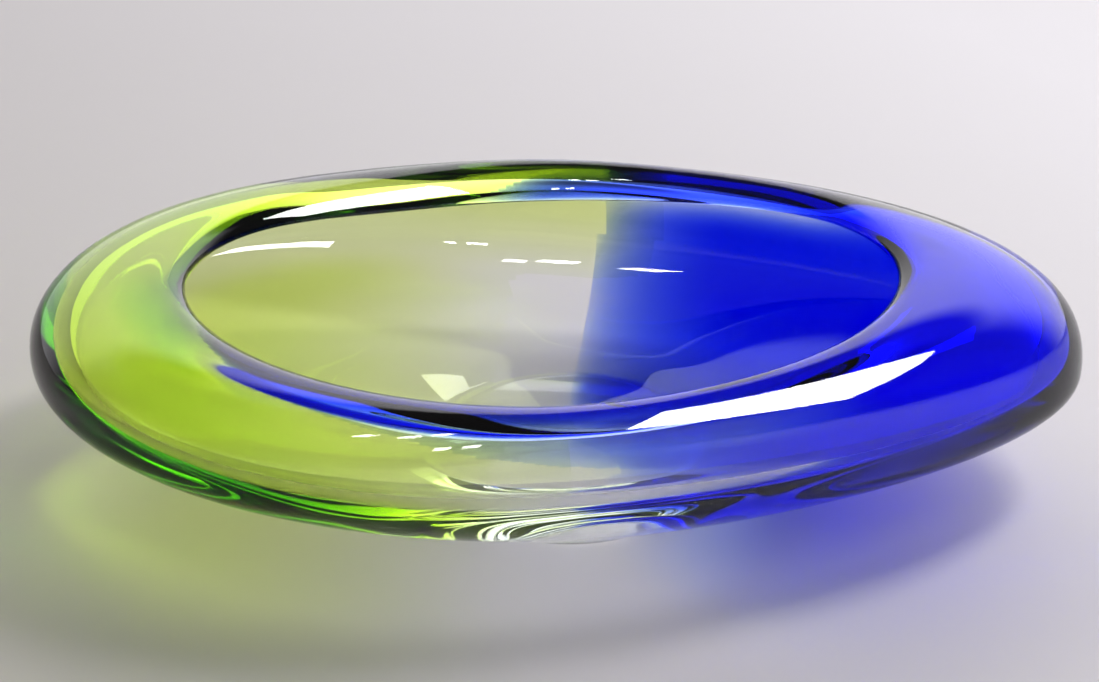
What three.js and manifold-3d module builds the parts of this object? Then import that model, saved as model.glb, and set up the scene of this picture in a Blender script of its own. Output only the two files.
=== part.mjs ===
// Oval art glass bowl, thick and cased, with a rolled inturned rim.
// Units are millimetres, +Z up. The origin is the middle of the bowl's plan, on the surface it stands on.
// +X runs along the bowl towards the blue end, +Y towards the back.
//
// The bowl is four bodies of glass, one inside another: a clear inner gather that lines the hollow and carries
// the lip, a green overlay on its left half, a blue overlay on its right half, and a clear casing outside them.
import * as THREE from 'three';
import { mergeVertices } from 'three/addons/utils/BufferGeometryUtils.js';
import Module from 'manifold-3d';

const wasm = await Module();
wasm.setup();

// ---- Driving dimensions ----
const HALF_LENGTH = 140;          // half of the bowl's length, at its widest line
const HALF_DEPTH = 73.3;          // half of its depth there
const BODY_NARROWING = 0.225;     // how much shallower the body gets towards the blue end

const MOUTH = { x: -4.5, y: 0.9, halfLength: 93.3, halfDepth: 55.7, narrowing: -0.02 };
const PINCH = { depth: 2, angle: 2.05, width: 0.3 };   // a slight inward pinch of the lip at the back left

const FOOT = { x: 2.8, y: -2.2, radius: 38.3 };        // the ground flat that the bowl stands on
const HULL_PULL = { out: 0.43, low: 0.37, high: 0.51 };  // pulls of the curve from foot to widest line

const WIDEST_HEIGHT = 35;         // height of the widest line
const WIDEST_TILT = -4.25;        // it drops towards the blue end
const CREST_HEIGHT = 59.1;        // height of the top of the rim
const CREST_TILT = 1.7;           // the crest rises towards the blue end
const CREST_SADDLE = 1.9;         // both ends are higher than the long sides
const CREST_BACK = 1.95;          // the back is higher than the front

const LIP_ROLL = 9;               // plan width of the rolled lip, from the crest inwards
const LIP_DROP = 3.9;             // how far the lip turns down at the ends
const LIP_DROP_SIDES = 5.5;       // and how much further along the sides
const SHOULDER_POWER = 2.37;      // fullness of the shoulder between the widest line and the crest

const HOLLOW = { floor: 12, widest: 37, widestTilt: -3 };   // heights of the hollow's floor and its widest line
const WALL = { ends: 12, sides: 8 };                   // glass between the widest lines of hollow and body
const FLOOR_CURVE = { ends: 0.3, sides: 0.58 };        // fullness of the hollow from its floor to its widest line
const ROOF_POWER = 2.2;                                // fullness of the hollow under the shoulder
const ROOF_PLACE = { ends: 12, sides: 7.5 };           // the roof's top, this far outside the mouth
const ROOF_DEPTH = { ends: 9.5, sides: 8 };            // and this far under the crest
const LIP_DIP = { ends: 1.6, sides: 3.4 };             // how far the lip's rounded underside hangs down

const GATHER = 1.9;               // thickness of the clear gather that lines the hollow
const OVERLAY = 3.2;              // thickness of the coloured glass
const OVERLAY_FEATHER = 0.8;      // thickness that it thins to where the colours meet
const FEATHER = { x: -6, halfWidth: 34 };              // where it thins, along the bowl
const GATHER_SHARE = 0.3;         // at the thin lip each layer gets a share of the wall instead
const OVERLAY_SHARE = 0.66;

const TONGUE = { from: 9, to: 101, width: 7.5, bottom: 44 };   // blue lap along the front lip, angles in degrees
const MEETING = { back: 9, front: 2 };                 // x of the line where the colours meet, at the back and the front

const GAP = 0.3;                  // clearance drawn between neighbouring bodies
const AROUND = 56;                // steps around the bowl

// ---- Where things change along a section: 0 is the axis, 1 is the innermost edge of the lip ----
const FOOT_EDGE = 0.18;
const WIDEST = 0.6;
const CREST = 0.86;
const LAYERS_END = 0.955;
const LIP_CLEARANCE = 0.009;

const lerp = THREE.MathUtils.lerp;
const smoothstep = THREE.MathUtils.smoothstep;

// ---- Outlines in plan ----
function ovalPoint(angle, oval) {
  const along = Math.cos(angle);
  return new THREE.Vector2(
    oval.x + oval.halfLength * along,
    oval.y + oval.halfDepth * Math.sin(angle) * (1 - oval.narrowing * along),
  );
}

function bodyOutline(angle) {
  const oval = { x: 0, y: 0, halfLength: HALF_LENGTH, halfDepth: HALF_DEPTH, narrowing: BODY_NARROWING };
  return ovalPoint(angle, oval);
}

function mouthOutline(angle) {
  const point = ovalPoint(angle, MOUTH);
  point.y -= PINCH.depth * Math.exp(-(((angle - PINCH.angle) / PINCH.width) ** 2));
  return point;
}

function footOutline(angle) {
  return new THREE.Vector2(FOOT.x + FOOT.radius * Math.cos(angle), FOOT.y + FOOT.radius * Math.sin(angle));
}

// The mouth's outline moved outwards by a distance.
function outsideMouth(angle, distance) {
  const lip = mouthOutline(angle);
  const outwards = bodyOutline(angle).sub(lip).setLength(distance);
  return lip.add(outwards);
}

// ---- Heights around the bowl ----
function widestHeight(angle) {
  return WIDEST_HEIGHT + WIDEST_TILT * Math.cos(angle);
}

function crestHeight(angle) {
  const tilt = CREST_TILT * Math.cos(angle) + CREST_BACK * Math.sin(angle);
  return CREST_HEIGHT + tilt + CREST_SADDLE * Math.cos(2 * angle);
}

function lipHeight(angle) {
  return crestHeight(angle) - LIP_DROP - LIP_DROP_SIDES * Math.sin(angle) ** 2;
}

// ---- The outside and the hollow, as points on the section at an angle ----
function at(plan, height) {
  return new THREE.Vector3(plan.x, plan.y, height);
}

function hullPoint(angle, part) {
  const out = new THREE.CubicBezierCurve(
    new THREE.Vector2(0, 0),
    new THREE.Vector2(HULL_PULL.out, HULL_PULL.low),
    new THREE.Vector2(1, HULL_PULL.high),
    new THREE.Vector2(1, 1),
  ).getPoint(part);
  const plan = footOutline(angle).lerp(bodyOutline(angle), out.x);
  return at(plan, widestHeight(angle) * out.y);
}

function shoulderPoint(angle, part) {
  const turn = part * Math.PI / 2;
  const power = 2 / SHOULDER_POWER;
  const crest = outsideMouth(angle, LIP_ROLL);
  const plan = crest.lerp(bodyOutline(angle), Math.cos(turn) ** power);
  return at(plan, lerp(widestHeight(angle), crestHeight(angle), Math.sin(turn) ** power));
}

function lipPoint(angle, part) {
  const turn = part * Math.PI / 2;
  const plan = outsideMouth(angle, LIP_ROLL).lerp(mouthOutline(angle), Math.sin(turn));
  return at(plan, lerp(lipHeight(angle), crestHeight(angle), Math.cos(turn)));
}

function outside(angle, s) {
  if (s <= FOOT_EDGE) {
    const middle = new THREE.Vector2(FOOT.x, FOOT.y);
    return at(middle.lerp(footOutline(angle), s / FOOT_EDGE), 0);
  }
  if (s <= WIDEST) return hullPoint(angle, (s - FOOT_EDGE) / (WIDEST - FOOT_EDGE));
  if (s <= CREST) return shoulderPoint(angle, (s - WIDEST) / (CREST - WIDEST));
  return lipPoint(angle, (s - CREST) / (1 - CREST));
}

function endsToSides(angle, size) {
  return lerp(size.ends, size.sides, Math.sin(angle) ** 2);
}

function hollowWidest(angle) {
  const body = bodyOutline(angle);
  const inside = body.length() - endsToSides(angle, WALL);
  return at(body.setLength(inside), HOLLOW.widest + HOLLOW.widestTilt * Math.cos(angle));
}

// The highest line of the hollow, under the rim.
function roofTop(angle) {
  const plan = outsideMouth(angle, endsToSides(angle, ROOF_PLACE));
  return at(plan, crestHeight(angle) - endsToSides(angle, ROOF_DEPTH));
}

function floorPoint(angle, part) {
  const pull = endsToSides(angle, FLOOR_CURVE);
  const fraction = new THREE.CubicBezierCurve(
    new THREE.Vector2(0, 0),
    new THREE.Vector2(pull, 0),
    new THREE.Vector2(1, 1 - pull),
    new THREE.Vector2(1, 1),
  ).getPoint(part);
  const edge = hollowWidest(angle);
  return new THREE.Vector3(edge.x * fraction.x, edge.y * fraction.x, lerp(HOLLOW.floor, edge.z, fraction.y));
}

function roofPoint(angle, part) {
  const turn = part * Math.PI / 2;
  const power = 2 / ROOF_POWER;
  const edge = hollowWidest(angle);
  const top = roofTop(angle);
  const plan = top.clone().lerp(edge, Math.cos(turn) ** power);
  return at(plan, lerp(edge.z, top.z, Math.sin(turn) ** power));
}

function underLipPoint(angle, part) {
  const top = roofTop(angle);
  const lip = at(mouthOutline(angle), lipHeight(angle));
  const plan = top.clone().lerp(lip, Math.sin(part * Math.PI / 2));
  const dip = endsToSides(angle, LIP_DIP) * Math.sin(part * Math.PI);
  return at(plan, lerp(top.z, lip.z, part) - dip);
}

// The hollow's surface, each point facing the outside's point at the same place on the section.
function hollow(angle, s) {
  if (s <= WIDEST) return floorPoint(angle, s / WIDEST);
  if (s <= CREST) return roofPoint(angle, (s - WIDEST) / (CREST - WIDEST));
  return underLipPoint(angle, (s - CREST) / (1 - CREST));
}

// ---- The boundaries between the bodies, as depths above the hollow ----
function overlayThickness(x) {
  const away = smoothstep(Math.abs(x - FEATHER.x), 0, FEATHER.halfWidth);
  return lerp(OVERLAY_FEATHER, OVERLAY, away);
}

// The point at a depth from the hollow into the wall, no deeper than a share of the wall.
function inWall(angle, s, depth, share, clearance) {
  const inner = hollow(angle, s);
  const skin = outside(angle, s);
  const wall = skin.distanceTo(inner);
  return inner.lerp(skin, Math.min(depth / wall, share) + clearance / wall);
}

function overlayInside(angle, s, clearance) {
  return inWall(angle, s, GATHER, GATHER_SHARE, -clearance);
}

function overlayOutside(angle, s, clearance) {
  const depth = GATHER + overlayThickness(hollow(angle, s).x);
  return inWall(angle, s, depth, OVERLAY_SHARE, clearance);
}

// ---- Solids from sections ----
function steps(from, to, count) {
  return Array.from({ length: count + 1 }, (_, i) => lerp(from, to, i / count));
}

const OUTSIDE_STEPS = [
  ...steps(0, FOOT_EDGE, 2),
  ...steps(FOOT_EDGE, WIDEST, 8).slice(1),
  ...steps(WIDEST, CREST, 7).slice(1),
];
const INSIDE_STEPS = [
  ...steps(0, WIDEST, 8),
  ...steps(WIDEST, CREST, 6).slice(1),
  ...steps(CREST, LAYERS_END, 3).slice(1),
];

// Joins ring j to ring j + 1 between two neighbouring sections. Facing surfaces split their squares alike.
function joinRings(index, vertex, i, j, onInside) {
  const near = vertex(i, j);
  const across = vertex(i + 1, j);
  const next = vertex(i, j + 1);
  const far = vertex(i + 1, j + 1);
  if (onInside) index.push(near, across, far, near, far, next);
  else index.push(near, across, next, across, far, next);
}

// A closed body. Its section at each angle is an outer and an inner chain of points, both from the axis outwards.
function loft(section) {
  const sections = steps(0, 2 * Math.PI, AROUND).slice(0, -1).map(section);
  const rings = sections.map(([outer, inner]) => [...outer.slice(1), ...inner.slice(1).reverse()]);
  const [firstOuter, firstInner] = sections[0];
  const rows = rings[0].length;
  const points = [firstOuter[0], firstInner[0], ...rings.flat()];
  const vertex = (i, j) => 2 + (i % AROUND) * rows + j;
  const index = [];
  for (let i = 0; i < AROUND; i += 1) {
    index.push(0, vertex(i + 1, 0), vertex(i, 0));
    index.push(1, vertex(i, rows - 1), vertex(i + 1, rows - 1));
    for (let j = 0; j < rows - 1; j += 1) joinRings(index, vertex, i, j, j >= firstOuter.length - 1);
  }
  const geometry = new THREE.BufferGeometry().setFromPoints(points);
  geometry.setIndex(index);
  return geometry;
}

function casingSection(angle) {
  const skin = [...OUTSIDE_STEPS, ...steps(CREST, LAYERS_END, 4).slice(1)];
  return [
    skin.map((s) => outside(angle, s)),
    INSIDE_STEPS.map((s) => overlayOutside(angle, s, GAP)),
  ];
}

function overlaySection(angle) {
  return [
    INSIDE_STEPS.map((s) => overlayOutside(angle, s, 0)),
    INSIDE_STEPS.map((s) => overlayInside(angle, s, 0)),
  ];
}

// The gather carries the lip: past the ends of the other layers it comes out to the surface.
function gatherSection(angle) {
  const lipStart = LAYERS_END + LIP_CLEARANCE;
  const covered = [...INSIDE_STEPS, lipStart].map((s) => overlayInside(angle, s, GAP));
  const lip = steps(lipStart, 1, 2).map((s) => outside(angle, s));
  const inner = [...INSIDE_STEPS, lipStart].map((s) => hollow(angle, s));
  return [[...covered, ...lip], inner];
}

// ---- Cutting the overlay shell into its green and blue parts ----
function toManifold(geometry) {
  const plain = geometry.clone();
  plain.deleteAttribute('normal');
  plain.deleteAttribute('uv');
  const merged = mergeVertices(plain, 1e-4);
  return new wasm.Manifold(new wasm.Mesh({
    numProp: 3,
    vertProperties: merged.attributes.position.array,
    triVerts: new Uint32Array(merged.index.array),
  }));
}

function toGeometry(solid) {
  const mesh = solid.getMesh();
  const geometry = new THREE.BufferGeometry();
  geometry.setAttribute('position', new THREE.BufferAttribute(mesh.vertProperties, 3));
  geometry.setIndex(new THREE.BufferAttribute(mesh.triVerts, 1));
  return geometry;
}

function prism(points, bottom, top) {
  const shape = new THREE.Shape(points);
  const geometry = new THREE.ExtrudeGeometry(shape, { depth: top - bottom, bevelEnabled: false });
  return toManifold(geometry.translate(0, 0, bottom));
}

// Everything on the blue side of the meeting line, moved towards the green side by a clearance.
function blueSide(clearance) {
  const reach = HALF_LENGTH + 20;
  return prism([
    new THREE.Vector2(MEETING.front - clearance, -reach),
    new THREE.Vector2(reach, -reach),
    new THREE.Vector2(reach, reach),
    new THREE.Vector2(MEETING.back - clearance, reach),
  ], -reach, reach);
}

// The lap of blue that runs on along the front lip, widening towards the blue side.
function tongue(clearance) {
  const start = 180 + TONGUE.from - THREE.MathUtils.radToDeg(clearance / MOUTH.halfDepth);
  const angles = steps(start, 180 + TONGUE.to, 14).map(THREE.MathUtils.degToRad);
  const spread = (i) => 1 + TONGUE.width * Math.sqrt(i / (angles.length - 1)) + clearance;
  const outer = angles.map((angle, i) => outsideMouth(angle, spread(i)));
  const inner = angles.map((angle) => mouthOutline(angle).multiplyScalar(0.85));
  return prism([...outer, ...inner.reverse()], TONGUE.bottom - clearance, CREST_HEIGHT + 20);
}

function blueCutter(clearance) {
  return blueSide(clearance).add(tongue(clearance));
}

// ---- Assembly ----
function glass(name, geometry, color) {
  const material = new THREE.MeshStandardMaterial({ color, roughness: 0.04, metalness: 0 });
  const mesh = new THREE.Mesh(geometry, material);
  mesh.name = name;
  return mesh;
}

function makeBowl() {
  const overlay = toManifold(loft(overlaySection));
  const bowl = new THREE.Group();
  bowl.add(
    glass('clear_outer_casing', loft(casingSection), '#dfe8e6'),
    glass('green_overlay', toGeometry(overlay.subtract(blueCutter(GAP))), '#9fc63a'),
    glass('blue_overlay', toGeometry(overlay.intersect(blueCutter(0))), '#2a1fe0'),
    glass('clear_inner_gather', loft(gatherSection), '#e8efec'),
  );
  return bowl;
}

export default makeBowl();
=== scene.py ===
"""Oval cased-glass bowl: one fused body of clear glass with green and blue glass inside it."""
import math
import bpy
import numpy as np
from mathutils import Matrix, Vector


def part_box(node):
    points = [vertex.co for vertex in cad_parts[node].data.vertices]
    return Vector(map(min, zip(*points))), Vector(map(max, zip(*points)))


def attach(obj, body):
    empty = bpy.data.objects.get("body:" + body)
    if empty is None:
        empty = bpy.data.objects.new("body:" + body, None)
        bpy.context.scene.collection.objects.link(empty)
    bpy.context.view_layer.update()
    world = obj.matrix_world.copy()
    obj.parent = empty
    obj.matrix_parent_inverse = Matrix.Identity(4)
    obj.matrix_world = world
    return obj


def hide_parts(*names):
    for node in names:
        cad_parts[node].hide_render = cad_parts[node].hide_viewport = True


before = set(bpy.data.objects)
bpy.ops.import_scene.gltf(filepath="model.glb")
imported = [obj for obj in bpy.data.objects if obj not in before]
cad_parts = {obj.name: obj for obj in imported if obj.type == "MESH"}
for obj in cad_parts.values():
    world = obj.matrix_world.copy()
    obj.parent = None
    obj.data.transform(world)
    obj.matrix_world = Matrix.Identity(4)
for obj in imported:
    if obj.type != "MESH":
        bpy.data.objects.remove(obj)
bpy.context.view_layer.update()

MM = 0.001
scene = bpy.context.scene

# ---- Camera ----
TARGET = Vector((-0.00234, 0.0, 0.03776))
ELEVATION = math.radians(30)
DISTANCE = 0.7
LENS = 86.05

camera_data = bpy.data.cameras.new("camera")
camera = bpy.data.objects.new("camera", camera_data)
scene.collection.objects.link(camera)
scene.camera = camera
camera_data.sensor_width = 36
camera_data.lens = LENS
camera_data.clip_start = 0.01
camera_data.clip_end = 20
back = Vector((0, -math.cos(ELEVATION), math.sin(ELEVATION)))
camera.location = TARGET + back * DISTANCE
camera.rotation_mode = "QUATERNION"
camera.rotation_quaternion = (-back).to_track_quat("-Z", "Y")

# ---- Dimensions of the bowl, in millimetres ----
casing_low, casing_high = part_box("clear_outer_casing")
HALF_LENGTH = (casing_high.x - casing_low.x) / 2 / MM
HALF_DEPTH = 73.3
BODY_NARROWING = 0.225
MOUTH = {"x": -4.5, "y": 0.9, "half_length": 93.3, "half_depth": 55.7, "narrowing": -0.02}
MOUTH_PINCH = {"depth": 2.0, "angle": 2.05, "spread": 0.3}
FOOT = {"x": 2.8, "y": -2.2, "radius": 38.3}
LIP_ROLL = 9.0
SHOULDER_POWER = 2.37
LOWER_BODY = {"foot_out": 0.43, "foot_up": 0.37, "side_up": 0.51}
HOLLOW_FLOOR = 12.0
ROOF_POWER = 2.2
BACK_ROOF_RISE = 2.5

# Pairs of values: at the two ends of the bowl, and at its front and back.
WALL = (12.0, 8.0)
FLOOR_CURVE = (0.3, 0.58)
ROOF_PLACE = (12.0, 7.5)
ROOF_DEPTH = (9.5, 8.0)
LIP_DIP = (1.6, 3.4)

# Places along a section: 0 at the axis, 1 at the innermost edge of the lip.
FOOT_EDGE = 0.18
WIDEST = 0.6
CREST = 0.86

AROUND = 288
SMOOTHING = 3.0


def mix(a, b, t):
    return a + (b - a) * t


def smooth(x, low, high):
    t = np.clip((x - low) / (high - low), 0, 1)
    return t * t * (3 - 2 * t)


def oval(angle, x, y, half_length, half_depth, narrowing):
    along = np.cos(angle)
    across = np.sin(angle) * (1 - narrowing * along)
    return np.stack([x + half_length * along, y + half_depth * across], -1)


def body_outline(angle):
    return oval(angle, 0, 0, HALF_LENGTH, HALF_DEPTH, BODY_NARROWING)


def mouth_outline(angle):
    point = oval(angle, **MOUTH)
    off = (angle - MOUTH_PINCH["angle"]) / MOUTH_PINCH["spread"]
    point[..., 1] -= MOUTH_PINCH["depth"] * np.exp(-(off ** 2))
    return point


def foot_outline(angle):
    radius = FOOT["radius"]
    return np.stack([FOOT["x"] + radius * np.cos(angle), FOOT["y"] + radius * np.sin(angle)], -1)


def unit(v):
    return v / np.linalg.norm(v, axis=-1, keepdims=True)


def crest_outline(angle):
    lip = mouth_outline(angle)
    return lip + unit(body_outline(angle) - lip) * LIP_ROLL


def widest_height(angle):
    return 35.0 - 4.25 * np.cos(angle)


def crest_height(angle):
    return 59.1 + 1.7 * np.cos(angle) + 1.95 * np.sin(angle) + 1.9 * np.cos(2 * angle)


def lip_height(angle):
    return crest_height(angle) - 3.9 - 5.5 * np.sin(angle) ** 2


def bezier(t, first, second):
    """A cubic from 0 to 1 with these two middle values."""
    return 3 * t * (1 - t) ** 2 * first + 3 * t * t * (1 - t) * second + t ** 3


def joined(plan, height):
    return np.concatenate([plan, height[..., None]], -1)


def outside(angle, s):
    """Points of the outer surface, at a place s along the section."""
    if s <= FOOT_EDGE:
        middle = np.array([FOOT["x"], FOOT["y"]])
        return joined(mix(middle, foot_outline(angle), s / FOOT_EDGE), 0 * angle)
    if s <= WIDEST:
        t = (s - FOOT_EDGE) / (WIDEST - FOOT_EDGE)
        out = bezier(t, LOWER_BODY["foot_out"], 1)
        up = bezier(t, LOWER_BODY["foot_up"], LOWER_BODY["side_up"])
        return joined(mix(foot_outline(angle), body_outline(angle), out), widest_height(angle) * up)
    if s <= CREST:
        turn = (s - WIDEST) / (CREST - WIDEST) * math.pi / 2
        power = 2 / SHOULDER_POWER
        plan = mix(crest_outline(angle), body_outline(angle), max(math.cos(turn), 0) ** power)
        return joined(plan, mix(widest_height(angle), crest_height(angle), math.sin(turn) ** power))
    turn = (s - CREST) / (1 - CREST) * math.pi / 2
    plan = mix(crest_outline(angle), mouth_outline(angle), math.sin(turn))
    return joined(plan, mix(lip_height(angle), crest_height(angle), math.cos(turn)))


def ends_sides(angle, pair):
    return mix(pair[0], pair[1], np.sin(angle) ** 2)[..., None]


def hollow(angle, s):
    """Points of the hollow's surface, facing the outside at the same s."""
    body = body_outline(angle)
    edge = body - unit(body) * ends_sides(angle, WALL)
    edge_z = 37.0 - 3.0 * np.cos(angle)
    lip = mouth_outline(angle)
    top = lip + unit(body - lip) * ends_sides(angle, ROOF_PLACE)
    at_back = smooth(np.sin(angle), 0, 0.6)
    top_z = crest_height(angle) - ends_sides(angle, ROOF_DEPTH)[..., 0] + BACK_ROOF_RISE * at_back
    if s <= WIDEST:
        t = s / WIDEST
        pull = ends_sides(angle, FLOOR_CURVE)[..., 0]
        out = bezier(t, pull, 1)
        up = bezier(t, 0, 1 - pull)
        return joined(edge * out[..., None], mix(HOLLOW_FLOOR, edge_z, up))
    if s <= CREST:
        turn = (s - WIDEST) / (CREST - WIDEST) * math.pi / 2
        power = 2 / ROOF_POWER
        plan = mix(top, edge, max(math.cos(turn), 0) ** power)
        return joined(plan, mix(edge_z, top_z, math.sin(turn) ** power))
    part = (s - CREST) / (1 - CREST)
    dip = ends_sides(angle, LIP_DIP)[..., 0] * (1 - at_back) * math.sin(part * math.pi)
    plan = mix(top, lip, math.sin(part * math.pi / 2))
    return joined(plan, mix(top_z, lip_height(angle), part) - dip)


# ---- Surfaces as grids: one row of points per angle ----
ANGLES = np.arange(AROUND) / AROUND * 2 * math.pi
STEPS = np.concatenate([
    np.linspace(0, FOOT_EDGE, 13)[:-1],
    np.linspace(FOOT_EDGE, WIDEST, 73)[:-1],
    np.linspace(WIDEST, CREST, 49)[:-1],
    np.linspace(CREST, 1, 19),
])


def grid(surface, steps):
    return np.stack([surface(ANGLES, s) for s in steps], 1)


def blurred(profile, start, spread):
    """Evens out the bends of each section, from a given step on."""
    reach = int(3 * spread)
    weights = np.exp(-0.5 * (np.arange(-reach, reach + 1) / spread) ** 2)
    weights /= weights.sum()
    padded = np.concatenate([profile, 2 * profile[:, -1:] - profile[:, -2:-2 - reach:-1]], 1)
    out = profile.copy()
    for j in range(start + 1, profile.shape[1] - 1):
        near = min(reach, j - start)
        w = weights[reach - near:reach + near + 1]
        out[:, j] = np.einsum("k,ikc->ic", w / w.sum(), padded[:, j - near:j + near + 1])
    return out


FOOT_ROW = 12
OUTER_COUNT = len(STEPS)
raw = np.concatenate([grid(outside, STEPS), grid(hollow, STEPS[::-1][1:])], 1)
SURFACE = blurred(raw, FOOT_ROW, SMOOTHING)
OUTSIDE = SURFACE[:, :OUTER_COUNT]
INSIDE = np.concatenate([SURFACE[:, :OUTER_COUNT - 1:-1], SURFACE[:, OUTER_COUNT - 1:OUTER_COUNT]], 1)


def add_mesh(name, points, faces):
    mesh = bpy.data.meshes.new(name)
    mesh.from_pydata((np.asarray(points) * MM).tolist(), [], faces)
    mesh.validate()
    mesh.update()
    mesh.shade_smooth()
    obj = bpy.data.objects.new(name, mesh)
    scene.collection.objects.link(obj)
    return obj


def lofted(name, profile):
    """A closed body from sections that start and end on the axis."""
    rows = profile.shape[1] - 2
    points = [profile[0, 0], profile[0, -1]] + list(profile[:, 1:-1].reshape(-1, 3))
    faces = []
    for i in range(AROUND):
        a = 2 + i * rows
        b = 2 + (i + 1) % AROUND * rows
        faces.append((0, b, a))
        faces.append((1, a + rows - 1, b + rows - 1))
        faces += [(a + j, b + j, b + j + 1, a + j + 1) for j in range(rows - 1)]
    return add_mesh(name, points, faces)


# ---- Layers of coloured glass ----
WALL_SIZE = np.linalg.norm(INSIDE - OUTSIDE, axis=-1)
THINNEST_WALL = 0.3
THINNEST_LAYER = 0.03
LAYER_GAP = 0.05
LAST_PLACE = 0.985


def wall_points(depth):
    """Points at a depth below the outside, towards the hollow."""
    share = np.clip(depth / np.maximum(WALL_SIZE, THINNEST_WALL), 0.02, 0.97)
    return OUTSIDE + (INSIDE - OUTSIDE) * share[..., None]


S = np.broadcast_to(STEPS, (AROUND, OUTER_COUNT))
THETA = np.broadcast_to(ANGLES[:, None], S.shape)
X = OUTSIDE[..., 0]
FRONT = smooth(-np.sin(THETA), -0.15, 0.15)


def shell(name, depth, thickness, last):
    """A closed body of glass wherever the layer is thick enough, its edge stitched shut."""
    outer = wall_points(depth)
    inner = wall_points(depth + thickness)
    keep = thickness > THINNEST_LAYER
    keep[:, last:] = False
    count = S.shape[1]
    used = np.zeros((AROUND, count - 1), bool)
    for j in range(count - 1):
        k = keep[:, j] & keep[:, j + 1]
        used[:, j] = k & np.roll(k, -1)
    ids = {}
    points, faces = [], []

    def vertex(side, i, j):
        i = 0 if j == 0 else i % AROUND
        key = (side, i, j)
        if key not in ids:
            ids[key] = len(points)
            points.append((outer if side == 0 else inner)[i, j])
        return ids[key]

    for i in range(AROUND):
        for j in range(count - 1):
            if not used[i, j]:
                continue
            for side in (0, 1):
                quad = [(i, j), (i + 1, j), (i + 1, j + 1), (i, j + 1)]
                if side == 1:
                    quad = quad[::-1]
                face = [vertex(side, a, b) for a, b in quad]
                face = [v for n, v in enumerate(face) if v != face[n - 1]]
                faces.append(tuple(face))
            edges = [((i, j), (i + 1, j), j > 0 and not used[i, j - 1]),
                     ((i + 1, j), (i + 1, j + 1), not used[(i + 1) % AROUND, j]),
                     ((i + 1, j + 1), (i, j + 1), j + 1 >= count - 1 or not used[i, j + 1]),
                     ((i, j + 1), (i, j), not used[(i - 1) % AROUND, j])]
            for p, q, open_edge in edges:
                if open_edge and not (p[1] == 0 and q[1] == 0):
                    face = [vertex(0, *q), vertex(0, *p), vertex(1, *p), vertex(1, *q)]
                    face = [v for n, v in enumerate(face) if v != face[n - 1]]
                    if len(face) > 2:
                        faces.append(tuple(face))
    return add_mesh(name, points, faces)


def along_section(places, values):
    return np.interp(S, places, values)


# Clear casing over the colours, and the colours' own thickness: thin on the body, thick in the lip.
CASING = WALL_SIZE * along_section([0, 0.3, 0.6, 0.75, 0.84, 0.92, 1],
                                   [0.62, 0.62, 0.56, 0.4, 0.24, 0.06, 0.04])
THICKEST_BACK = along_section([0.8, 0.91, 0.955], [2.1, 2.1, 8.0])
THICKEST_FRONT = along_section([0.8, 0.9], [2.1, 8.0])
COLOUR_SHARE = along_section([0.6, 0.84, 0.92, 1], [0.36, 0.5, 0.88, 0.9])
OVERLAY = np.minimum(mix(THICKEST_BACK, THICKEST_FRONT, FRONT), WALL_SIZE * COLOUR_SHARE)

# The blue fades in from a line across the bowl at the back, and laps along the lip at the front.
back_edge = along_section([0, 0.4, 0.6, 0.76, 0.88, 0.95, 1], [3, 8, 12, 13, 2, -20, -32])
blue_back = np.clip((X - back_edge) / mix(38, 14, smooth(S, 0.8, 0.92)), 0, 1) ** 0.85
far_rim = smooth(S, 0.63, 0.72) * (1 - smooth(S, 0.9, 0.945))
blue_back *= 1 - 0.85 * far_rim * (1 - smooth(X, 70, 110))
front_edge = along_section([0, 0.1, 0.3, 0.4, 0.58, 0.61, 0.63, 0.66, 0.7, 0.75, 0.79, 0.83, 0.88, 1],
                           [3, 10, 22, 40, 75, 60, 26, 0, -26, -44, -60, -80, -92, -95])
rise = along_section([0, 0.4, 0.55, 0.66, 0.75, 0.82, 1], [34, 34, 20, 25, 45, 12, 12])
lap = along_section([0.1, 0.2, 0.5, 0.62, 0.75, 0.82, 0.86, 1],
                    [0.8, 0.32, 0.32, 0.12, 0.17, 0.34, 0.36, 0.4])
blue_front = np.clip((X - front_edge) / rise, 0, 1)
blue_front = blue_front * (lap + (1 - lap) * smooth(X, 45, 112))
deeper = 1 + 0.4 * smooth(X, 20, 90) * (1 - smooth(S, 0.6, 0.8))
blue_thickness = OVERLAY * mix(blue_back, blue_front, FRONT) * deeper

# The green fades out towards the middle, thins along the lower edge and stays clear of the lap.
green_floor = 1 - smooth(X, -80, -6)
green_back = (1 - smooth(X - back_edge, -2, 24)) * (1 - 0.45 * far_rim * smooth(X, -100, -60))
under_lap = smooth(S, 0.78, 0.86) * smooth(X, -100, -82)
green_front = (1 - np.clip((X + 92) / 98, 0, 1)) * (1 - 0.9 * under_lap)
green_rim = mix(green_back, green_front, FRONT)
lower_edge = smooth(S, 0.42, 0.52) * (1 - smooth(S, 0.6, 0.7))
green_share = mix(green_floor, green_rim, smooth(S, 0.42, 0.62)) * (1 - 0.45 * lower_edge)
green_thickness = OVERLAY * green_share
green_depth = CASING + blue_thickness + LAYER_GAP
LAST = int(np.searchsorted(STEPS, LAST_PLACE))

clear_glass = lofted("clear_glass", SURFACE)
green_layer = shell("green_layer", green_depth, green_thickness, LAST)
blue_layer = shell("blue_layer", CASING, blue_thickness, LAST)


# ---- Materials ----
GLASS_IOR = 1.5
LAYER_IOR = 1.0


def material(name):
    made = bpy.data.materials.new(name)
    made.use_nodes = True
    return made, made.node_tree.nodes, made.node_tree.links


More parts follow.
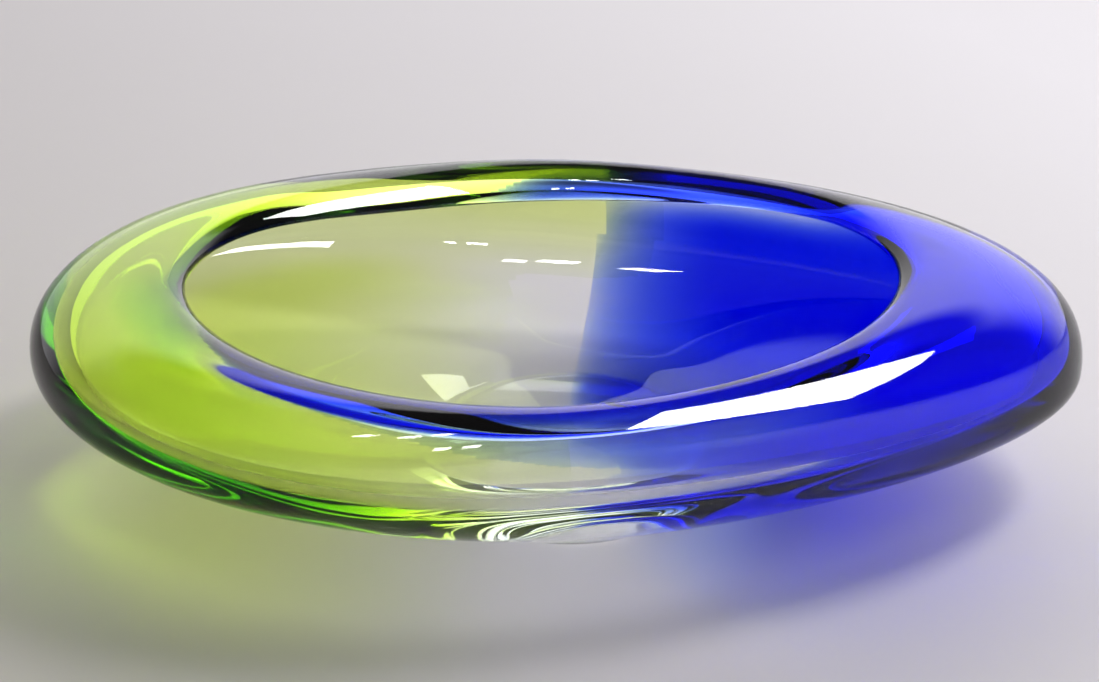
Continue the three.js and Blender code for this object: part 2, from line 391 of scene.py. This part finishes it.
def absorbing(name, color, density, ior):
    made, nodes, links = material(name)
    shader = nodes["Principled BSDF"]
    shader.inputs["Base Color"].default_value = (1, 1, 1, 1)
    shader.inputs["Roughness"].default_value = 0.0
    shader.inputs["IOR"].default_value = ior
    shader.inputs["Transmission Weight"].default_value = 1.0
    absorb = nodes.new("ShaderNodeVolumeAbsorption")
    absorb.inputs["Color"].default_value = (*color, 1)
    absorb.inputs["Density"].default_value = density
    links.new(absorb.outputs["Volume"], nodes["Material Output"].inputs["Volume"])
    return made


def streaked(name, color, density, tint):
    """Coloured glass with faint drawn-out cords of weaker and stronger colour."""
    made = absorbing(name, color, density, LAYER_IOR)
    nodes, links = made.node_tree.nodes, made.node_tree.links
    where = nodes.new("ShaderNodeTexCoord")
    drawn = nodes.new("ShaderNodeMapping")
    drawn.inputs["Scale"].default_value = (4, 14, 40)
    cords = nodes.new("ShaderNodeTexNoise")
    cords.inputs["Scale"].default_value = 3
    cords.inputs["Detail"].default_value = 2
    tones = nodes.new("ShaderNodeValToRGB")
    tones.color_ramp.elements[0].position = 0.35
    tones.color_ramp.elements[0].color = (*tint, 1)
    tones.color_ramp.elements[1].position = 0.65
    tones.color_ramp.elements[1].color = (1, 1, 1, 1)
    links.new(where.outputs["Object"], drawn.inputs["Vector"])
    links.new(drawn.outputs["Vector"], cords.inputs["Vector"])
    links.new(cords.outputs["Fac"], tones.inputs["Fac"])
    links.new(tones.outputs["Color"], nodes["Principled BSDF"].inputs["Base Color"])
    return made


def clear_material():
    made = absorbing("clear_glass", (0.5, 0.62, 0.6), 6, GLASS_IOR)
    nodes, links = made.node_tree.nodes, made.node_tree.links
    where = nodes.new("ShaderNodeTexCoord")
    ripples = nodes.new("ShaderNodeTexNoise")
    ripples.inputs["Scale"].default_value = 26
    ripples.inputs["Detail"].default_value = 1.5
    bump = nodes.new("ShaderNodeBump")
    bump.inputs["Strength"].default_value = 0.12
    bump.inputs["Distance"].default_value = 0.002
    links.new(where.outputs["Object"], ripples.inputs["Vector"])
    links.new(ripples.outputs["Fac"], bump.inputs["Height"])
    links.new(bump.outputs["Normal"], nodes["Principled BSDF"].inputs["Normal"])
    return made


green_glass = streaked("green_glass", (0.81, 0.925, 0.0), 640, (0.96, 0.98, 0.9))
blue_glass = streaked("blue_glass", (0.0, 0.22, 0.99), 2400, (0.85, 0.92, 0.98))
green_layer.data.materials.append(green_glass)
blue_layer.data.materials.append(blue_glass)
clear_glass.data.materials.append(clear_material())

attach(clear_glass, "root")
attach(green_layer, "root")
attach(blue_layer, "root")
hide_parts("clear_outer_casing", "clear_inner_gather")
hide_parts("green_overlay")
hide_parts("blue_overlay")

# ---- Floor and light ----
floor_mesh = bpy.data.meshes.new("floor")
FLOOR_HALF = 3.0
FLOOR_DROP = 0.0002
corners = [(x * FLOOR_HALF, y * FLOOR_HALF, 0) for x, y in ((-1, -1), (1, -1), (1, 1), (-1, 1))]
floor_mesh.from_pydata(corners, [], [(0, 1, 2, 3)])
floor = bpy.data.objects.new("floor", floor_mesh)
floor.location.z = -FLOOR_DROP
scene.collection.objects.link(floor)
# Painted light and shade: the floor's colour is darker and warmer towards the front left and lighter
# towards the back right, standing in for the light falling off across the floor.
paper, nodes, links = material("paper")
where = nodes.new("ShaderNodeTexCoord")
turn = nodes.new("ShaderNodeMapping")
turn.inputs["Rotation"].default_value = (0, 0, math.radians(-38))
turn.inputs["Location"].default_value = (0.5, 0, 0)
painted_falloff = nodes.new("ShaderNodeTexGradient")
tones = nodes.new("ShaderNodeValToRGB")
tones.color_ramp.elements[0].position = 0.25
tones.color_ramp.elements[0].color = (0.6, 0.57, 0.53, 1)
tones.color_ramp.elements[1].position = 0.8
tones.color_ramp.elements[1].color = (0.92, 0.9, 0.92, 1)
links.new(where.outputs["Object"], turn.inputs["Vector"])
links.new(turn.outputs["Vector"], painted_falloff.inputs["Vector"])
links.new(painted_falloff.outputs["Fac"], tones.inputs["Fac"])
links.new(tones.outputs["Color"], nodes["Principled BSDF"].inputs["Base Color"])
nodes["Principled BSDF"].inputs["Roughness"].default_value = 0.7
floor_mesh.materials.append(paper)

world = bpy.data.worlds.new("room")
scene.world = world
world.use_nodes = True
nodes, links = world.node_tree.nodes, world.node_tree.links


def node(kind, **settings):
    made = nodes.new(kind)
    for name, value in settings.items():
        setattr(made, name, value)
    return made


def ranged(value, low, high, from_value, to_value):
    made = node("ShaderNodeMapRange", interpolation_type="SMOOTHSTEP")
    sockets = ("From Min", "From Max", "To Min", "To Max")
    for name, number in zip(sockets, (low, high, from_value, to_value)):
        made.inputs[name].default_value = number
    links.new(value, made.inputs["Value"])
    return made.outputs["Result"]


def maths(operation, a, b):
    made = node("ShaderNodeMath", operation=operation)
    for socket, value in zip(made.inputs, (a, b)):
        if isinstance(value, (int, float)):
            socket.default_value = value
        else:
            links.new(value, socket)
    return made.outputs[0]


where = node("ShaderNodeTexCoord")
split = node("ShaderNodeSeparateXYZ")
links.new(where.outputs["Generated"], split.inputs[0])
# A bright backdrop stands behind the bowl, brighter to the right, and the rest of the room is dim.
ROOM_STRENGTH = 0.12
behind = ranged(split.outputs["Y"], 0.1, 0.6, 0.0, 1.0)
below_top = ranged(split.outputs["Z"], 0.68, 0.78, 1.0, 0.0)
side = ranged(split.outputs["X"], -0.7, 0.3, 1.1, 2.6)
backdrop = maths("MULTIPLY", behind, below_top)
strength = maths("ADD", maths("MULTIPLY", backdrop, side), ROOM_STRENGTH)
links.new(strength, nodes["Background"].inputs["Strength"])
nodes["Background"].inputs["Color"].default_value = (0.96, 0.94, 0.98, 1)


def area_light(name, towards, distance, width, height, power, color, along=(0, 0, 1)):
    data = bpy.data.lights.new(name, "AREA")
    data.shape = "RECTANGLE"
    data.size = width
    data.size_y = height
    data.energy = power
    data.color = color
    light = bpy.data.objects.new(name, data)
    direction = Vector(towards).normalized()
    light.location = direction * distance
    light.rotation_mode = "QUATERNION"
    across = Vector(along).cross(direction).normalized()
    axes = Matrix((across, direction.cross(across), direction)).transposed()
    light.rotation_quaternion = axes.to_quaternion()
    scene.collection.objects.link(light)
    return light


window = area_light("window", (0.535, -0.467, 0.705), 1.3, 0.69, 1.02, 70, (1, 0.99, 0.98),
                    along=(-0.07, 0.82, 0.57))
window.visible_diffuse = False
window.visible_transmission = False
key = area_light("key", (0.54, 0.34, 0.77), 1.2, 0.26, 0.36, 5, (1, 0.98, 0.99))
key.visible_glossy = False
LAMPS = [(-0.25, -0.49, 0.83), (-0.17, -0.55, 0.82), (-0.11, -0.51, 0.85),
         (-0.09, -0.87, 0.48), (-0.03, -0.87, 0.49)]
for i, lamp in enumerate(LAMPS):
    small = area_light(f"lamp_{i + 1}", lamp, 1.3, 0.045, 0.11, 0.5, (1, 1, 0.98))
    small.visible_diffuse = False
    small.visible_transmission = False

scene.cycles.max_bounces = 32
scene.cycles.transmission_bounces = 32
scene.cycles.transparent_max_bounces = 32
scene.cycles.glossy_bounces = 12
scene.cycles.diffuse_bounces = 3
scene.cycles.caustics_refractive = True
scene.cycles.caustics_reflective = True
scene.cycles.use_denoising = True
scene.cycles.blur_glossy = 0.1
scene.view_settings.view_transform = "Standard"
